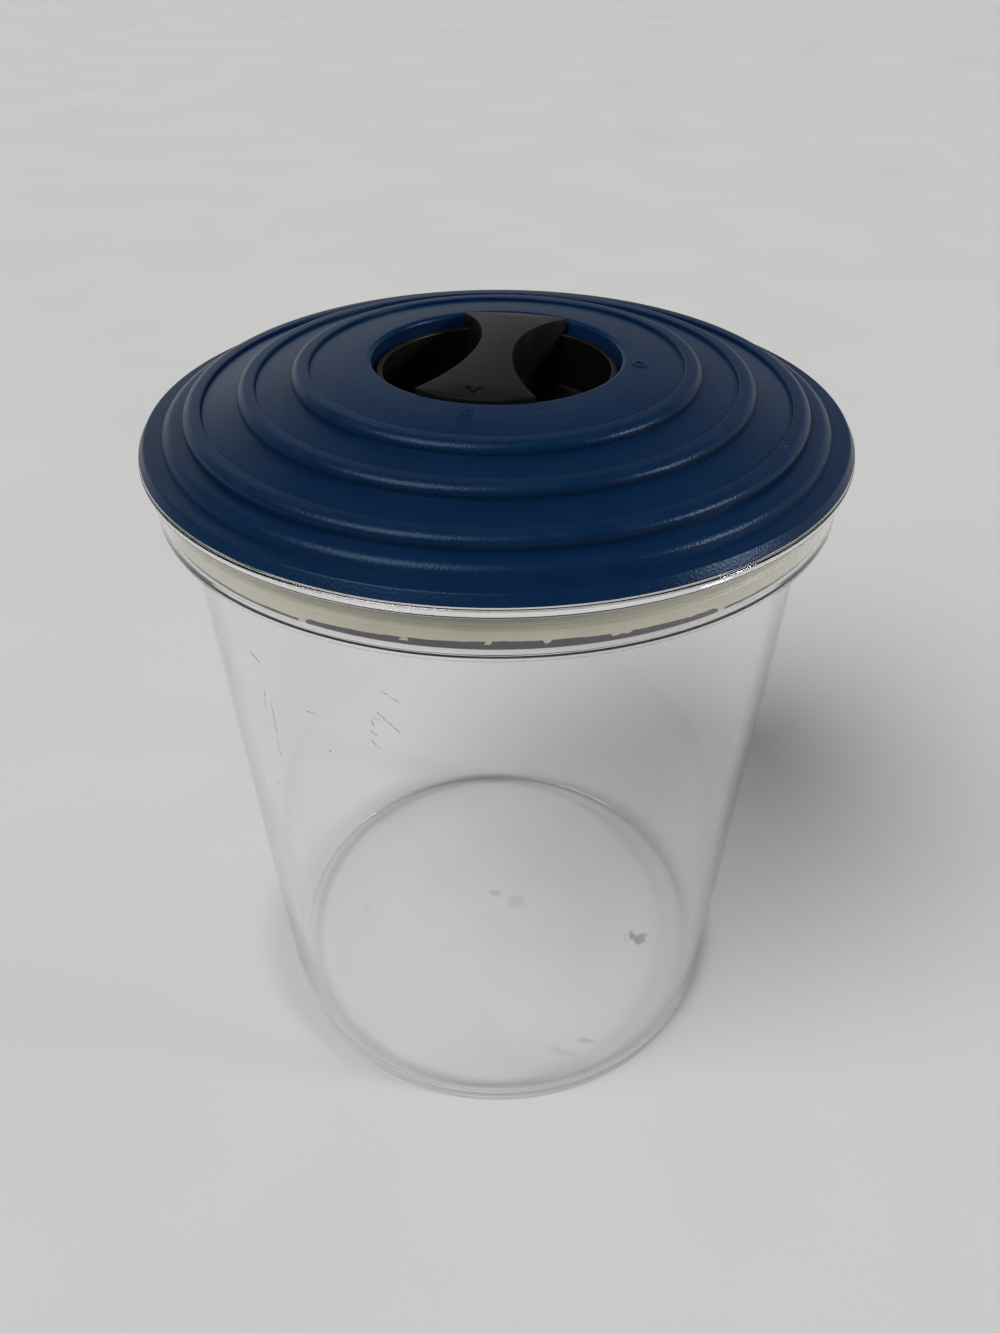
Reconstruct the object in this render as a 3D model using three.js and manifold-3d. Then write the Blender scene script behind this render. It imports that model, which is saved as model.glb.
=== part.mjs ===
// Airtight food canister: a clear round body, a blue domed lid on a silicone gasket, and a black
// dial in the lid's well that works a small vacuum valve.
// Millimetres, +Z up, origin at the centre of the base. The dial's pointer faces -Y.

import * as THREE from 'three';
import { mergeVertices } from 'three/addons/utils/BufferGeometryUtils.js';
import Module from 'manifold-3d';

const wasm = await Module();
wasm.setup();

// Clear body
const BODY_HEIGHT = 180.0;
const BASE_RADIUS = 67.6;
const BASE_CORNER = 1.6;
const NECK_RADIUS = 73.4;
const BODY_WALL = 2.4;
const BODY_FLOOR = 2.8;
const FLOOR_FILLET = 2.0;
const LEDGE_REACH = 5.4;
const LEDGE = 1.3;
const COLLAR_HEIGHT = 12.4;
const COLLAR_WALL = 2.0;
const LIP_REACH = 1.8;
const LIP_HEIGHT = 1.9;
const MOUTH_FLARE = 2.2;
const MOUTH_FLARE_HEIGHT = 2.8;

// Gasket
const GASKET_WIDTH = 3.4;
const GASKET_HEIGHT = 7.6;
const GASKET_UPPER_RIB = 3.2;
const GASKET_GROOVE = 1.1;
const GASKET_SEAT_GAP = 0.3;
const GASKET_SIDE_GAP = 0.4;
const GASKET_PROUD = 0.4;

// Lid
const LID_GAP = 0.4;
const LID_INSET = 0.3;
const LID_WALL = 2.2;
const FLANGE_EDGE = 2.2;
const FLANGE_LAND = 0.3;
const FLANGE_SLANT = 1.2;
const FLANGE_WIDTH = 3.8;
const RIM_BAND = 10.2;
const SHOULDER_FLAT = 2.5;
const SHOULDER_RUN = 1.0;
const DOME_HEIGHT = 17.15;
const DOME_CURVE = 220;
const RIPPLE_COUNT = 3;
const RIPPLE_PITCH = 12.05;
const RIPPLE_WIDTH = 4.1;
const RIPPLE_CREST = 0.6;
const RIPPLE_STEP = 0.75;
const PLUG_WALL = 2.4;
const PLUG_FIT = 0.3;

// Well in the lid, with its hub, valve pocket, vent and stop groove
const WELL_RADIUS = 28.0;
const WELL_EDGE_HEIGHT = 14.55;
const WELL_EDGE_ROUND = 1.2;
const WELL_DEPTH = 19.35;
const WELL_WALL = 2.2;
const WELL_FLOOR = 2.4;
const HUB_RADIUS = 7.6;
const HUB_DROP = 4.8;
const PORT_RADIUS = 16.5;
const POCKET_RADIUS = 6.2;
const POCKET_DEPTH = 4.5;
const POCKET_WALL = 1.8;
const POCKET_FLOOR = 1.6;
const FLOW_HOLE_RADIUS = 0.9;
const FLOW_HOLE_COUNT = 4;
const AIR_HOLE_RADIUS = 1.5;
const STOP_ANGLE = 200;
const STOP_TRAVEL = 90;
const STOP_HALF_ANGLE = 3;
const STOP_SPARE_ANGLE = 2;
const STOP_WIDTH = 2.4;
const STOP_DEPTH = 1.2;

// Dial
const DIAL_GAP = 0.7;
const CUP_WALL = 1.5;
const CUP_FLOOR = 1.8;
const CUP_RIM_DROP = 2.85;
const GRIP_CROWN_RISE = 2.2;
const GRIP_END_RISE = 0.25;
const GRIP_WAIST = 8.1;
const GRIP_SIDE_CURVE = 38.2;
const STEM_RADIUS = 4.0;
const GLAND_HEIGHT = 1.9;
const GLAND_DEPTH = 1.1;

// Valve stack under the dial
const RUN_GAP = 0.3;
const SEAL_THICKNESS = 1.4;
const SEAL_HOLE_RADIUS = 2.2;
const O_RING_GAP = 0.15;
const SPRING_THICKNESS = 0.5;
const SPRING_RISE = 0.9;
const SPRING_WIDTH = 3.2;
const SPRING_GAP = 0.1;
const WASHER_RADIUS = 7.0;
const WASHER_THICKNESS = 1.0;
const SCREW_RADIUS = 1.4;
const SCREW_LENGTH = 8.5;
const SCREW_HEAD_RADIUS = 3.0;
const SCREW_HEAD_HEIGHT = 2.0;
const SCREW_FIT = 0.3;
const RECESS_LENGTH = 3.2;
const RECESS_WIDTH = 0.8;
const RECESS_DEPTH = 0.9;
const UMBRELLA_RADIUS = 5.2;
const UMBRELLA_THICKNESS = 1.3;
const UMBRELLA_EDGE = 0.6;
const UMBRELLA_STEM = 1.2;
const UMBRELLA_BARB = 0.7;
const UMBRELLA_TAIL = 3.2;

// Facets
const RING_SIDES = 60;
const SMALL_SIDES = 24;
const CURVE_STEPS = 4;
const MERGE_DISTANCE = 1e-4;

// Heights and radii that several pieces share. Lid heights are measured from the flange's underside.
const collarRadius = NECK_RADIUS + LEDGE_REACH;
const collarBore = collarRadius - COLLAR_WALL;
const lipRadius = collarRadius + LIP_REACH;
const ledgeUnder = BODY_HEIGHT - COLLAR_HEIGHT;
const lidBase = BODY_HEIGHT + LID_GAP;
const lidRadius = lipRadius - LID_INSET;

const gasketOuter = collarBore - GASKET_SIDE_GAP;
const gasketInner = gasketOuter - GASKET_WIDTH;
const gasketLow = ledgeUnder + LEDGE + GASKET_SEAT_GAP - lidBase;
const gasketHigh = gasketLow + GASKET_HEIGHT;
const plugRadius = gasketInner - PLUG_FIT;

const wellFloorTop = WELL_EDGE_HEIGHT - WELL_DEPTH;
const wellFloorUnder = wellFloorTop - WELL_FLOOR;
const hubUnder = wellFloorUnder - HUB_DROP;
const hubBore = STEM_RADIUS + RUN_GAP;
const pocketFloorTop = wellFloorTop - POCKET_DEPTH;
const pocketFloorUnder = pocketFloorTop - POCKET_FLOOR;

const cupRadius = WELL_RADIUS - DIAL_GAP;
const sealUnder = wellFloorTop + RUN_GAP;
const cupUnder = sealUnder + SEAL_THICKNESS;
const cupFloorTop = cupUnder + CUP_FLOOR;
const cupRim = WELL_EDGE_HEIGHT - CUP_RIM_DROP;
const stopOuter = cupRadius - CUP_WALL;
const stopInner = stopOuter - STOP_WIDTH;
const stemEnd = hubUnder - SPRING_GAP - SPRING_THICKNESS - SPRING_RISE - SPRING_GAP;
const glandMiddle = (wellFloorUnder + hubUnder) / 2;
const glandRadius = STEM_RADIUS - GLAND_DEPTH;

// Turns a closed outline of radius and height about the Z axis.
function turned(outline, sides = RING_SIDES) {
  const geometry = new THREE.LatheGeometry(outline.getPoints(CURVE_STEPS), sides);
  return geometry.rotateX(Math.PI / 2);
}

// An upright round bar between two heights.
function roundBar(radius, low, high, sides = SMALL_SIDES) {
  const outline = new THREE.Path();
  outline.moveTo(0, low);
  outline.lineTo(radius, low);
  outline.lineTo(radius, high);
  outline.lineTo(0, high);
  return turned(outline, sides);
}

// A flat outline raised from one height to another.
function raised(shape, low, high, curveSegments) {
  const geometry = new THREE.ExtrudeGeometry(shape, { depth: high - low, bevelEnabled: false, curveSegments });
  return geometry.translate(0, 0, low);
}

// A closed geometry as a solid that can be joined and cut.
function solid(geometry) {
  const plain = geometry.clone();
  plain.deleteAttribute('normal');
  plain.deleteAttribute('uv');
  const merged = mergeVertices(plain, MERGE_DISTANCE);
  return new wasm.Manifold(new wasm.Mesh({
    numProp: 3,
    vertProperties: new Float32Array(merged.attributes.position.array),
    triVerts: new Uint32Array(merged.index.array),
  }));
}

function geometryOf(made) {
  const mesh = made.getMesh();
  const geometry = new THREE.BufferGeometry();
  geometry.setAttribute('position', new THREE.BufferAttribute(mesh.vertProperties, 3));
  geometry.setIndex(new THREE.BufferAttribute(mesh.triVerts, 1));
  geometry.computeVertexNormals();
  return geometry;
}

// A ring sector in plan, for the stop lug and the groove that it runs in.
function sector(inner, outer, startDegrees, endDegrees) {
  const start = THREE.MathUtils.degToRad(startDegrees);
  const end = THREE.MathUtils.degToRad(endDegrees);
  const shape = new THREE.Shape();
  shape.absarc(0, 0, outer, start, end, false);
  shape.absarc(0, 0, inner, end, start, true);
  shape.closePath();
  return shape;
}

// Height of the lid's dome, ripples aside, at a radius.
function domeHeight(radius) {
  return DOME_HEIGHT - DOME_CURVE + Math.sqrt(DOME_CURVE ** 2 - radius ** 2);
}

// Clear body: flat floor, tapered wall, ledge, collar, lip and flared mouth in one moulding.
function bodyGeometry() {
  const innerBase = BASE_RADIUS - BODY_WALL;
  const innerNeck = NECK_RADIUS - BODY_WALL;
  const ledgeTop = ledgeUnder + LEDGE;
  const lipUnder = BODY_HEIGHT - LIP_HEIGHT;
  const outline = new THREE.Path();
  outline.moveTo(0, 0);
  outline.lineTo(BASE_RADIUS - BASE_CORNER, 0);
  outline.quadraticCurveTo(BASE_RADIUS, 0, BASE_RADIUS, BASE_CORNER);
  outline.lineTo(NECK_RADIUS, ledgeUnder);
  outline.lineTo(collarRadius, ledgeUnder);
  outline.lineTo(collarRadius, lipUnder);
  outline.lineTo(lipRadius, lipUnder);
  outline.lineTo(lipRadius, BODY_HEIGHT);
  outline.lineTo(collarBore + MOUTH_FLARE, BODY_HEIGHT);
  outline.lineTo(collarBore, BODY_HEIGHT - MOUTH_FLARE_HEIGHT);
  outline.lineTo(collarBore, ledgeTop);
  outline.lineTo(innerNeck, ledgeTop);
  outline.lineTo(innerBase, BODY_FLOOR + FLOOR_FILLET);
  outline.quadraticCurveTo(innerBase, BODY_FLOOR, innerBase - FLOOR_FILLET, BODY_FLOOR);
  outline.lineTo(0, BODY_FLOOR);
  return turned(outline);
}

// Gasket: two rounded ribs with a groove between them outside, a flat bore that grips the plug.
// A curve comes three quarters of the way to its two control points, so they lie a third past the ribs.
function gasketGeometry() {
  const middle = gasketHigh - GASKET_UPPER_RIB;
  const grooveRadius = gasketOuter - GASKET_GROOVE;
  const ribControl = gasketOuter + GASKET_GROOVE / 3;
  const outline = new THREE.Path();
  outline.moveTo(gasketInner, gasketLow);
  outline.lineTo(grooveRadius, gasketLow);
  outline.bezierCurveTo(ribControl, gasketLow, ribControl, middle, grooveRadius, middle);
  outline.bezierCurveTo(ribControl, middle, ribControl, gasketHigh, grooveRadius, gasketHigh);
  outline.lineTo(gasketInner, gasketHigh);
  outline.closePath();
  return turned(outline);
}

// The lid's turned form: flange, shoulder, ripples, well, hub, dome underside and plug.
function lidOutline() {
  const plugShoulder = gasketHigh + PLUG_FIT;
  const plugUnder = gasketLow + GASKET_PROUD;
  const plugBore = plugRadius - PLUG_WALL;
  const wellOuter = WELL_RADIUS + WELL_WALL;
  const skinDrop = LID_WALL + RIPPLE_STEP;
  const outermost = lidRadius - RIM_BAND;
  const flangeOuter = lidRadius - FLANGE_SLANT;
  const flangeInner = flangeOuter - FLANGE_WIDTH;

  const outline = new THREE.Path();
  outline.moveTo(lidRadius, 0);
  outline.lineTo(lidRadius, FLANGE_LAND);
  outline.lineTo(flangeOuter, FLANGE_EDGE);
  outline.lineTo(flangeInner, FLANGE_EDGE);

  // The shoulder rolls up from the flange to the foot of the outermost ripple.
  const footHeight = domeHeight(outermost) - RIPPLE_STEP;
  const shoulderRadius = outermost + SHOULDER_FLAT;
  outline.quadraticCurveTo(flangeInner - SHOULDER_RUN, footHeight, shoulderRadius, footHeight);

  // Each ripple is a low step that rolls over to a crease on its inner side.
  for (let i = 0; i < RIPPLE_COUNT; i += 1) {
    const outer = outermost - i * RIPPLE_PITCH;
    const inner = outer - RIPPLE_WIDTH;
    const crestControl = domeHeight(inner) + 2 * RIPPLE_CREST;
    outline.lineTo(outer, domeHeight(outer) - RIPPLE_STEP);
    outline.bezierCurveTo(outer, crestControl, inner, crestControl, inner, domeHeight(inner));
  }

  // Well edge, wall and floor, then the hub that the dial's stem passes through.
  outline.lineTo(WELL_RADIUS + WELL_EDGE_ROUND, WELL_EDGE_HEIGHT);
  outline.quadraticCurveTo(WELL_RADIUS, WELL_EDGE_HEIGHT, WELL_RADIUS, WELL_EDGE_HEIGHT - WELL_EDGE_ROUND);
  outline.lineTo(WELL_RADIUS, wellFloorTop);
  outline.lineTo(hubBore, wellFloorTop);
  outline.lineTo(hubBore, hubUnder);
  outline.lineTo(HUB_RADIUS, hubUnder);
  outline.lineTo(HUB_RADIUS, wellFloorUnder);
  outline.lineTo(wellOuter, wellFloorUnder);

  // Underside of the dome, then the plug with the shoulder that the gasket sits under.
  const underCentre = DOME_HEIGHT - skinDrop - DOME_CURVE;
  const nearWell = Math.acos(wellOuter / DOME_CURVE);
  const nearPlug = Math.acos(plugBore / DOME_CURVE);
  outline.absarc(0, underCentre, DOME_CURVE, nearWell, nearPlug, true);
  outline.lineTo(plugBore, plugUnder);
  outline.lineTo(plugRadius, plugUnder);
  outline.lineTo(plugRadius, plugShoulder);
  outline.lineTo(gasketOuter - GASKET_SIDE_GAP, plugShoulder);
  outline.lineTo(gasketOuter - GASKET_SIDE_GAP, 0);
  outline.closePath();
  return outline;
}

// Lid: the turned form with a valve pocket on +X, a vent on +Y and the dial's stop groove.
function lidGeometry() {
  const bossRadius = POCKET_RADIUS + POCKET_WALL;
  const boss = roundBar(bossRadius, pocketFloorUnder, wellFloorTop).translate(PORT_RADIUS, 0, 0);
  const pocket = roundBar(POCKET_RADIUS, pocketFloorTop, wellFloorTop + RUN_GAP).translate(PORT_RADIUS, 0, 0);
  const stemHole = roundBar(UMBRELLA_STEM + RUN_GAP, pocketFloorUnder - RUN_GAP, wellFloorTop);
  const vent = roundBar(AIR_HOLE_RADIUS, wellFloorUnder - RUN_GAP, wellFloorTop + RUN_GAP);
  const flowRing = (POCKET_RADIUS + UMBRELLA_STEM) / 2;
  const groove = sector(
    stopInner - RUN_GAP, stopOuter + RUN_GAP,
    STOP_ANGLE - STOP_HALF_ANGLE - STOP_SPARE_ANGLE,
    STOP_ANGLE + STOP_TRAVEL + STOP_HALF_ANGLE + STOP_SPARE_ANGLE,
  );

  let lid = solid(turned(lidOutline())).add(solid(boss)).subtract(solid(pocket));
  lid = lid.subtract(solid(stemHole.translate(PORT_RADIUS, 0, 0)));
  lid = lid.subtract(solid(vent.translate(0, PORT_RADIUS, 0)));
  for (let i = 0; i < FLOW_HOLE_COUNT; i += 1) {
    const angle = (i + 0.5) * 2 * Math.PI / FLOW_HOLE_COUNT;
    const hole = roundBar(FLOW_HOLE_RADIUS, pocketFloorUnder - RUN_GAP, wellFloorTop, SMALL_SIDES / 2);
    hole.translate(PORT_RADIUS + flowRing * Math.cos(angle), flowRing * Math.sin(angle), 0);
    lid = lid.subtract(solid(hole));
  }
  lid = lid.subtract(solid(raised(groove, wellFloorTop - STOP_DEPTH, wellFloorTop + RUN_GAP, SMALL_SIDES)));
  return geometryOf(lid);
}

// Hourglass in plan: round ends on the cup's radius and sides that curve in to the waist.
function gripPlan() {
  const sideCentre = GRIP_WAIST / 2 + GRIP_SIDE_CURVE;
  const cornerX = (cupRadius ** 2 + sideCentre ** 2 - GRIP_SIDE_CURVE ** 2) / (2 * sideCentre);
  const cornerY = Math.sqrt(cupRadius ** 2 - cornerX ** 2);
  const endAngle = Math.atan2(cornerY, cornerX);
  const sideAngle = Math.atan2(cornerY, sideCentre - cornerX);
  const shape = new THREE.Shape();
  shape.absarc(0, 0, cupRadius, endAngle, Math.PI - endAngle, false);
  shape.absarc(-sideCentre, 0, GRIP_SIDE_CURVE, sideAngle, -sideAngle, true);
  shape.absarc(0, 0, cupRadius, Math.PI + endAngle, 2 * Math.PI - endAngle, false);
  shape.absarc(sideCentre, 0, GRIP_SIDE_CURVE, Math.PI + sideAngle, Math.PI - sideAngle, true);
  shape.closePath();
  return shape;
}

// Grip bar: the hourglass raised from the cup's floor, its top arched along the bar.
function gripSolid() {
  const low = cupFloorTop - CUP_FLOOR / 2;
  const crown = WELL_EDGE_HEIGHT + GRIP_CROWN_RISE;
  const sag = GRIP_CROWN_RISE - GRIP_END_RISE;
  const archRadius = (cupRadius ** 2 + sag ** 2) / (2 * sag);
  const halfArc = Math.asin(cupRadius / archRadius);
  const side = new THREE.Shape();
  side.moveTo(-cupRadius, low);
  side.lineTo(cupRadius, low);
  side.absarc(0, crown - archRadius, archRadius, Math.PI / 2 - halfArc, Math.PI / 2 + halfArc, false);
  side.closePath();
  const arch = raised(side, -cupRadius, cupRadius, 2 * CURVE_STEPS);
  arch.rotateX(Math.PI / 2).rotateZ(Math.PI / 2);
  const hourglass = raised(gripPlan(), low, crown + RUN_GAP, 2 * CURVE_STEPS);
  return solid(arch).intersect(solid(hourglass));
}

// Dial: cup, grip bar, stem with its gland and screw hole, air hole and stop lug in one moulding.
function dialGeometry() {
  const screwTop = stemEnd - WASHER_THICKNESS + SCREW_LENGTH + SCREW_FIT;
  const screwBore = SCREW_RADIUS + SCREW_FIT;
  const cupBore = cupRadius - CUP_WALL;
  const outline = new THREE.Path();
  outline.moveTo(0, screwTop);
  outline.lineTo(screwBore, screwTop);
  outline.lineTo(screwBore, stemEnd);
  outline.lineTo(STEM_RADIUS, stemEnd);
  outline.lineTo(STEM_RADIUS, glandMiddle - GLAND_HEIGHT / 2);
  outline.lineTo(glandRadius, glandMiddle - GLAND_HEIGHT / 2);
  outline.lineTo(glandRadius, glandMiddle + GLAND_HEIGHT / 2);
  outline.lineTo(STEM_RADIUS, glandMiddle + GLAND_HEIGHT / 2);
  outline.lineTo(STEM_RADIUS, cupUnder);
  outline.lineTo(cupRadius, cupUnder);
  outline.lineTo(cupRadius, cupRim);
  outline.lineTo(cupBore, cupRim);
  outline.lineTo(cupBore, cupFloorTop);
  outline.lineTo(0, cupFloorTop);

  const lugPlan = sector(stopInner, stopOuter, STOP_ANGLE - STOP_HALF_ANGLE, STOP_ANGLE + STOP_HALF_ANGLE);
  const lug = raised(lugPlan, wellFloorTop - STOP_DEPTH + RUN_GAP, cupUnder + CUP_FLOOR / 2, 2);
  const airHole = roundBar(AIR_HOLE_RADIUS, cupUnder - RUN_GAP, cupFloorTop + RUN_GAP);
  const dial = solid(turned(outline)).add(gripSolid()).add(solid(lug));
  return geometryOf(dial.subtract(solid(airHole.translate(PORT_RADIUS, 0, 0))));
}

// Dial seal: a flat disc round the stem, inside the stop lug, with the air hole through it.
function sealGeometry() {
  const outline = new THREE.Path();
  outline.moveTo(STEM_RADIUS + RUN_GAP, sealUnder);
  outline.lineTo(stopInner - RUN_GAP, sealUnder);
  outline.lineTo(stopInner - RUN_GAP, cupUnder);
  outline.lineTo(STEM_RADIUS + RUN_GAP, cupUnder);
  outline.closePath();
  const hole = roundBar(SEAL_HOLE_RADIUS, sealUnder - RUN_GAP, cupUnder + RUN_GAP);
  return geometryOf(solid(turned(outline)).subtract(solid(hole.translate(PORT_RADIUS, 0, 0))));
}

// Stem seal: a round-section ring that fills the stem's gland out to the hub's bore.
function oRingGeometry() {
  const inner = glandRadius + O_RING_GAP;
  const outer = hubBore - O_RING_GAP;
  const outline = new THREE.Path();
  outline.absarc((inner + outer) / 2, glandMiddle, (outer - inner) / 2, 0, 2 * Math.PI, false);
  return turned(outline, SMALL_SIDES);
}

// Disc spring: a shallow cone that bears on the hub at its rim and on the washer at its bore.
function springGeometry() {
  const inner = STEM_RADIUS + RUN_GAP;
  const outer = inner + SPRING_WIDTH;
  const rimTop = hubUnder - SPRING_GAP;
  const boreTop = rimTop - SPRING_RISE;
  const outline = new THREE.Path();
  outline.moveTo(inner, boreTop - SPRING_THICKNESS);
  outline.lineTo(outer, rimTop - SPRING_THICKNESS);
  outline.lineTo(outer, rimTop);
  outline.lineTo(inner, boreTop);
  outline.closePath();
  return turned(outline, SMALL_SIDES);
}

// Washer clamped on the stem's end face.
function washerGeometry() {
  const outline = new THREE.Path();
  outline.moveTo(SCREW_RADIUS + SCREW_FIT, stemEnd - WASHER_THICKNESS);
  outline.lineTo(WASHER_RADIUS, stemEnd - WASHER_THICKNESS);
  outline.lineTo(WASHER_RADIUS, stemEnd);
  outline.lineTo(SCREW_RADIUS + SCREW_FIT, stemEnd);
  outline.closePath();
  return turned(outline, SMALL_SIDES);
}

// Pan-head screw with a cross recess, driven up into the stem.
function screwGeometry() {
  const headTop = stemEnd - WASHER_THICKNESS;
  const headUnder = headTop - SCREW_HEAD_HEIGHT;
  const tip = headTop + SCREW_LENGTH;
  const outline = new THREE.Path();
  outline.moveTo(0, headUnder);
  outline.lineTo(SCREW_HEAD_RADIUS / 2, headUnder);
  outline.quadraticCurveTo(SCREW_HEAD_RADIUS, headUnder, SCREW_HEAD_RADIUS, headTop);
  outline.lineTo(SCREW_RADIUS, headTop);
  outline.lineTo(SCREW_RADIUS, tip - SCREW_RADIUS);
  outline.lineTo(0, tip);
  let screw = solid(turned(outline, SMALL_SIDES));
  for (const [x, y] of [[RECESS_LENGTH, RECESS_WIDTH], [RECESS_WIDTH, RECESS_LENGTH]]) {
    const slot = new THREE.BoxGeometry(x, y, 2 * RECESS_DEPTH).translate(0, 0, headUnder);
    screw = screw.subtract(solid(slot));
  }
  return geometryOf(screw);
}

// Umbrella valve: a thin domed skirt in the pocket, a stem through its floor and a barb below.
function checkValveGeometry() {
  const skirtUnder = pocketFloorTop + RUN_GAP;
  const barbTop = pocketFloorUnder - RUN_GAP;
  const barbRadius = UMBRELLA_STEM + UMBRELLA_BARB;
  const skirtTop = skirtUnder + UMBRELLA_THICKNESS;
  const outline = new THREE.Path();
  outline.moveTo(0, barbTop - UMBRELLA_TAIL);
  outline.lineTo(UMBRELLA_STEM / 2, barbTop - UMBRELLA_TAIL);
  outline.lineTo(barbRadius, barbTop - UMBRELLA_BARB);
  outline.lineTo(barbRadius, barbTop);
  outline.lineTo(UMBRELLA_STEM, barbTop);
  outline.lineTo(UMBRELLA_STEM, skirtUnder);
  outline.lineTo(UMBRELLA_RADIUS, skirtUnder);
  outline.lineTo(UMBRELLA_RADIUS, skirtUnder + UMBRELLA_EDGE);
  outline.quadraticCurveTo(UMBRELLA_RADIUS / 2, skirtTop, 0, skirtTop);
  return turned(outline, SMALL_SIDES);
}

// A named piece with a finish of its own.
function piece(name, geometry, finish) {
  const mesh = new THREE.Mesh(geometry, new THREE.MeshStandardMaterial(finish));
  mesh.name = name;
  return mesh;
}

const clearPlastic = { color: '#e6e9ec', roughness: 0.06, metalness: 0, transparent: true, opacity: 0.25 };
const bluePlastic = { color: '#173766', roughness: 0.5, metalness: 0 };
const blackPlastic = { color: '#17181a', roughness: 0.4, metalness: 0 };
const creamSilicone = { color: '#e4dfca', roughness: 0.6, metalness: 0 };
const greySilicone = { color: '#8d8f90', roughness: 0.65, metalness: 0 };
const blackRubber = { color: '#1c1c1c', roughness: 0.7, metalness: 0 };
const steel = { color: '#b9bcc0', roughness: 0.3, metalness: 1 };

const dial = new THREE.Group();
dial.add(piece('valve_dial', dialGeometry(), blackPlastic));
dial.add(piece('dial_seal', sealGeometry(), greySilicone));
dial.add(piece('stem_o_ring', oRingGeometry(), blackRubber));
dial.add(piece('spring_washer', springGeometry(), steel));
dial.add(piece('retaining_washer', washerGeometry(), steel));
dial.add(piece('retaining_screw', screwGeometry(), steel));

const lid = new THREE.Group();
lid.position.z = lidBase;
lid.add(piece('lid_shell', lidGeometry(), bluePlastic));
lid.add(piece('lid_gasket', gasketGeometry(), creamSilicone));
const checkValve = piece('check_valve', checkValveGeometry(), greySilicone);
checkValve.position.x = PORT_RADIUS;
lid.add(checkValve);
lid.add(dial);

const canister = new THREE.Group();
canister.add(piece('canister_body', bodyGeometry(), clearPlastic));
canister.add(lid);

export default canister;
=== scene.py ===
# Airtight food canister: a clear body, a blue domed lid on a silicone gasket, and a black dial in the
# lid's well that works a small vacuum valve. Metres, +Z up, origin under the base, pointer facing -Y.

import math

import bmesh
import bpy
from mathutils import Matrix, Vector
from mathutils.geometry import interpolate_bezier


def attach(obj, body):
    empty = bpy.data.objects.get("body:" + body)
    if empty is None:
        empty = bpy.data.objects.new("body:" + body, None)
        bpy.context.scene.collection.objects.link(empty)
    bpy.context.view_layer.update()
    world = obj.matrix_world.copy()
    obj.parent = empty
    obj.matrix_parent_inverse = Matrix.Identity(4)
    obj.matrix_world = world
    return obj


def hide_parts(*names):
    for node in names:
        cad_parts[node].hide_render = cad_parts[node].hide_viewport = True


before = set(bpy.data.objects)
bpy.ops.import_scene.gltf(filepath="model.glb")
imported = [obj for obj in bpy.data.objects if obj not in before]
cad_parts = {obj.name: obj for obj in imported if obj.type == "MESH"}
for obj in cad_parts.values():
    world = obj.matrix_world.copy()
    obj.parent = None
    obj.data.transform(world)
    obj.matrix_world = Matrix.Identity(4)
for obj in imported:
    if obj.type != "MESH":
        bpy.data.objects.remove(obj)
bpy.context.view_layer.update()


# Clear body. One thick moulding in clear styrene: a flat floor, a wall that widens a little on the way
# up, and a rim that steps out to a ledge, a collar and a lip. Handling has left a few scratches on the
# front of the wall and some marks on the floor.

mm = 0.001


def rounded(corners, steps=8):
    """Outline through corners of (radius, height, rounding), with an arc where there is a rounding."""
    outline = []
    for i, (radius, height, rounding) in enumerate(corners):
        corner = Vector((radius, height))
        if not rounding:
            outline.append(corner)
            continue
        back = (Vector(corners[i - 1][:2]) - corner).normalized()
        ahead = (Vector(corners[(i + 1) % len(corners)][:2]) - corner).normalized()
        half = back.angle(ahead) / 2
        centre = corner + (back + ahead).normalized() * rounding / math.sin(half)
        start = corner + back * rounding / math.tan(half) - centre
        end = corner + ahead * rounding / math.tan(half) - centre
        sweep = math.atan2(start.cross(end), start.dot(end))
        turns = [Matrix.Rotation(sweep * s / steps, 2) for s in range(steps + 1)]
        outline += [centre + turn @ start for turn in turns]
    return outline


def turned(outline, sides=288, lift=0.0):
    """Mesh of an outline in millimetres turned about the upright axis, closed on itself or the axis."""
    mesh = bmesh.new()
    rings = []
    for radius, height in outline:
        count = sides if radius > 1e-4 else 1
        turns = [2 * math.pi * i / sides for i in range(count)]
        z = (height + lift) * mm
        rings.append([
            mesh.verts.new((radius * math.cos(t) * mm, radius * math.sin(t) * mm, z)) for t in turns
        ])
    pairs = list(zip(rings, rings[1:]))
    if len(rings[0]) > 1:
        pairs.append((rings[-1], rings[0]))
    for low, high in pairs:
        for i in range(sides):
            j = (i + 1) % sides
            corners = (low[i % len(low)], low[j % len(low)], high[j % len(high)], high[i % len(high)])
            mesh.faces.new(list(dict.fromkeys(corners)))
    bmesh.ops.recalc_face_normals(mesh, faces=mesh.faces)
    return mesh


sharp_angle = math.radians(32)


def made(name, mesh):
    """A piece from a mesh, shaded smooth up to the sharp angle."""
    data = bpy.data.meshes.new(name)
    mesh.to_mesh(data)
    mesh.free()
    data.shade_smooth()
    data.set_sharp_from_angle(angle=sharp_angle)
    piece = bpy.data.objects.new(name, data)
    bpy.context.scene.collection.objects.link(piece)
    return piece


base_radius, neck_radius, wall = 67.6, 73.4, 2.4
floor_top, ledge_under, ledge_top = 2.8, 167.6, 168.9
collar_radius, collar_bore = 78.8, 76.8
lip_radius, lip_bore, lip_under, lip_foot, body_top = 80.6, 79.0, 178.1, 177.2, 180.0

body = made("clear_body", turned(rounded([
    (0, 0, 0), (base_radius, 0, 1.6), (neck_radius, ledge_under, 1.2),
    (collar_radius, ledge_under, 0.35), (collar_radius, lip_under, 0.3),
    (lip_radius, lip_under, 0.5), (lip_radius, body_top, 0.6), (lip_bore, body_top, 0.3),
    (collar_bore, lip_foot, 0.6), (collar_bore, ledge_top, 0.5),
    (neck_radius - wall, ledge_top, 0.7), (base_radius - wall, floor_top, 2.0), (0, floor_top, 0),
])))


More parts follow.
